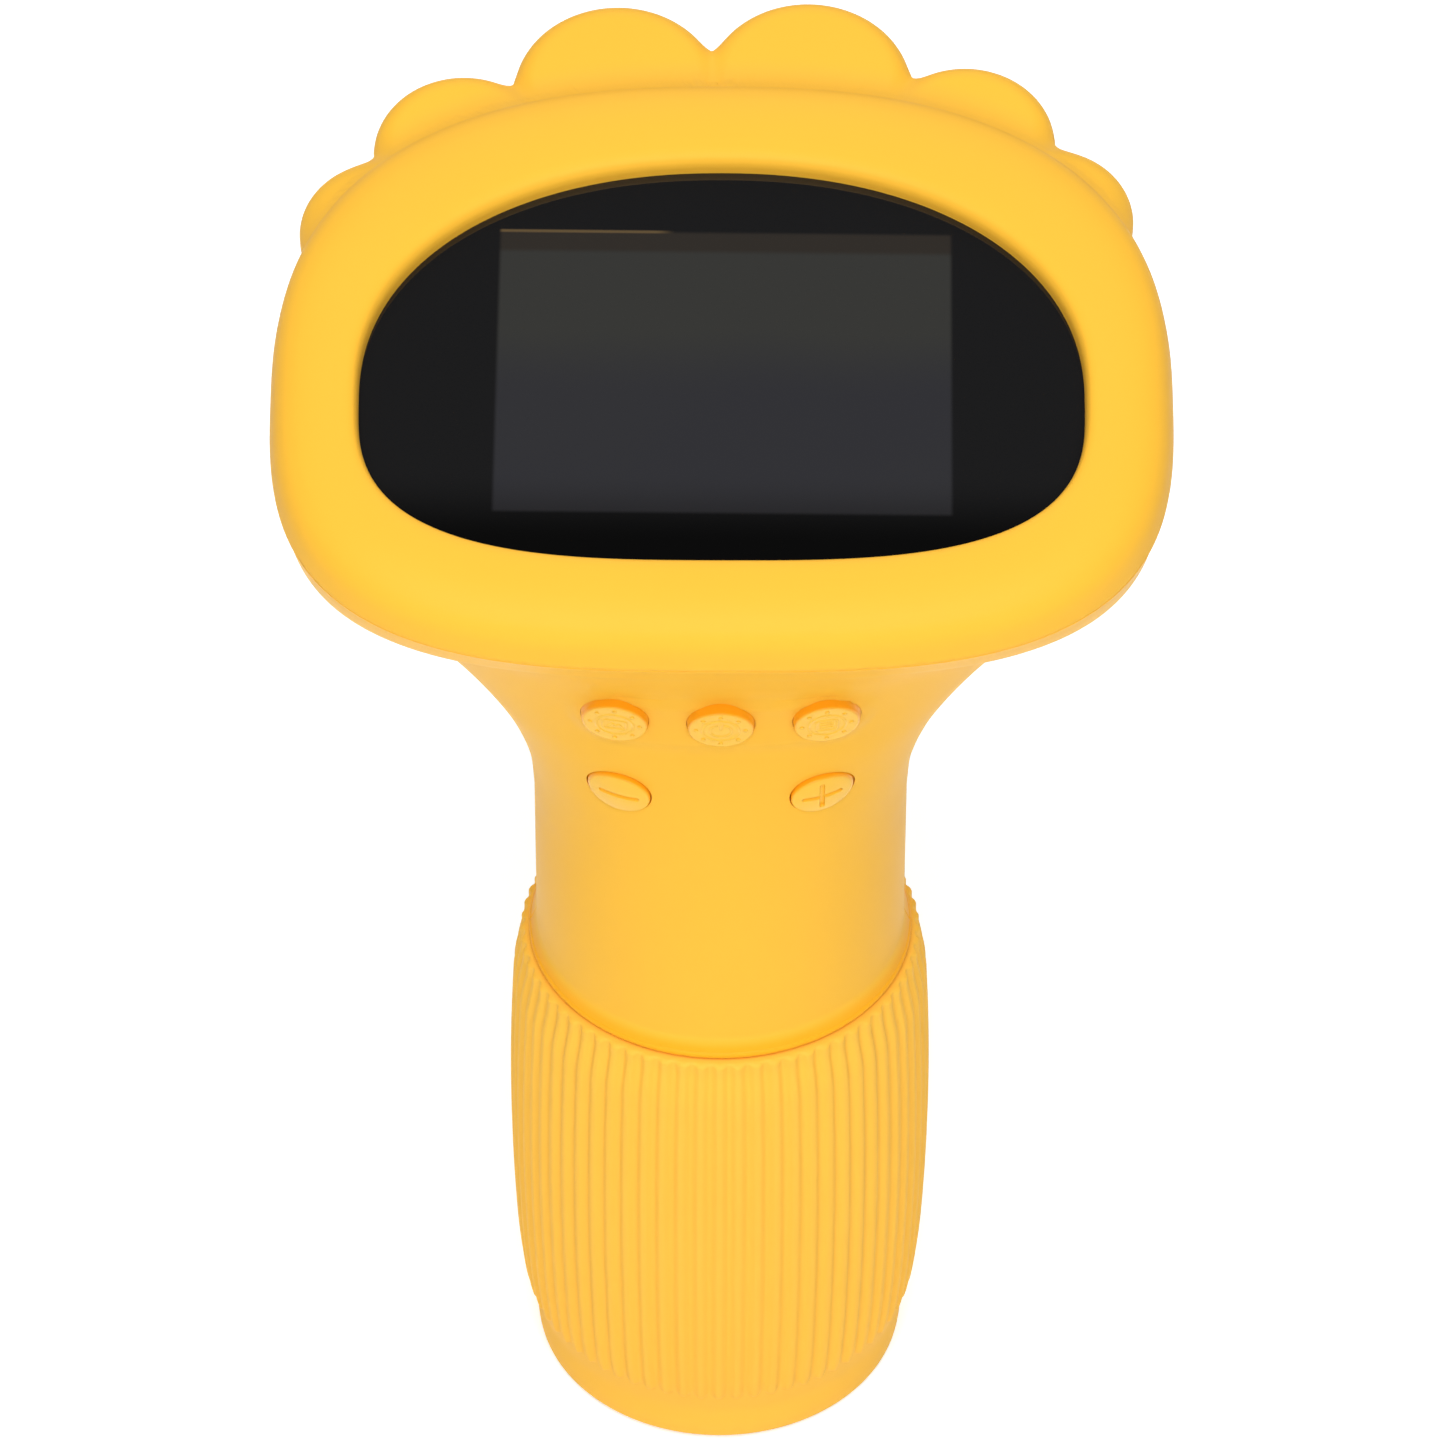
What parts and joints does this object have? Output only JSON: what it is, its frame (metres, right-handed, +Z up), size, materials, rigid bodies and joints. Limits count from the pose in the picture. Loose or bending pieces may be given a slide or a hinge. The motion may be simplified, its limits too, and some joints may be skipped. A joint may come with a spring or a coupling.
{
  "type": "handheld digital microscope",
  "caption": "Yellow handheld digital microscope with a tilted oval screen head, scalloped crest, flared neck with press keys and a ribbed focus sleeve.",
  "frame": {"origin": "centre of the clear foot's flat face, on the handle's axis", "axes": "+Z up along the handle towards the screen head, -Y towards the user, who looks at the tilted screen"},
  "size_m": [0.0812, 0.0723, 0.1333],
  "materials": {
    "matte_yellow": "fine matte",
    "gloss_yellow": "smooth gloss",
    "key_yellow": "smooth gloss",
    "black_glass": "gloss, dark printed border",
    "panel_black": "matte",
    "board_green": "solder mask",
    "board_white": "white solder mask",
    "chip_black": "moulded",
    "steel": "plain",
    "foil": "pouch foil",
    "copper_flex": "polyimide",
    "lead_red": "insulated",
    "black_plastic": "fine matte",
    "brass": "turned",
    "lens_glass": "polished",
    "clear_plastic": "clear acrylic",
    "led_white": "clear over phosphor"
  },
  "bodies": {
    "housing": {"front_housing": "gloss_yellow", "rear_housing": "gloss_yellow", "bezel": "matte_yellow", "mane_crest": "matte_yellow", "display_window": "black_glass", "lcd_module": "panel_black", "main_board": "board_green", "image_processor": "chip_black", "usb_socket": "steel", "card_socket": "steel", "lcd_ribbon": "copper_flex", "battery_cell": "foil", "battery_leads": "lead_red", "key_board": "board_green", "tact_switches": "steel", "key_ribbon": "copper_flex", "optical_barrel": "black_plastic", "sensor_board": "board_green", "image_sensor": "chip_black", "sensor_screws": "steel", "sensor_ribbon": "copper_flex", "led_board": "board_white", "leds": "led_white", "led_clip_ring": "black_plastic", "clear_foot": "clear_plastic", "bezel_screws": "steel", "board_screws": "steel", "neck_screws": "steel", "key_screws": "steel"},
    "focus_ring": {"focus_sleeve": "matte_yellow", "cam_ring": "black_plastic"},
    "lens_group": {"lens_carrier": "black_plastic", "follower_pins": "brass", "lens_cell": "black_plastic", "front_lens": "lens_glass", "rear_lens": "lens_glass", "lens_rings": "steel"},
    "photo_button": {"photo_key": "key_yellow", "photo_plunger": "black_plastic"},
    "power_button": {"power_key": "key_yellow", "power_plunger": "black_plastic"},
    "menu_button": {"menu_key": "key_yellow", "menu_plunger": "black_plastic"},
    "minus_button": {"minus_key": "key_yellow", "minus_plunger": "black_plastic"},
    "plus_button": {"plus_key": "key_yellow", "plus_plunger": "black_plastic"}
  },
  "joints": [
    {"name": "focus_turn", "type": "hinge", "parent": "housing", "child": "focus_ring", "pos_m": [0, 0, 0], "axis": [0, 0, 1], "range_deg": [-60, 60]},
    {"name": "lens_slide", "type": "slide", "parent": "housing", "child": "lens_group", "axis": [0, 0, 1], "range_m": [-0.003, 0.003]},
    {"name": "photo_press", "type": "slide", "parent": "housing", "child": "photo_button", "axis": [0, 1, 0], "range_m": [0, 0.0006], "stiffness_N_per_m": 900},
    {"name": "power_press", "type": "slide", "parent": "housing", "child": "power_button", "axis": [0, 1, 0], "range_m": [0, 0.0006], "stiffness_N_per_m": 900},
    {"name": "menu_press", "type": "slide", "parent": "housing", "child": "menu_button", "axis": [0, 1, 0], "range_m": [0, 0.0006], "stiffness_N_per_m": 900},
    {"name": "minus_press", "type": "slide", "parent": "housing", "child": "minus_button", "axis": [0, 1, 0], "range_m": [0, 0.0006], "stiffness_N_per_m": 900},
    {"name": "plus_press", "type": "slide", "parent": "housing", "child": "plus_button", "axis": [0, 1, 0], "range_m": [0, 0.0006], "stiffness_N_per_m": 900}
  ],
  "couplings": [
    {"joint": "lens_slide", "follows": "focus_turn", "m_per_rad": 0.0028648}
  ]
}
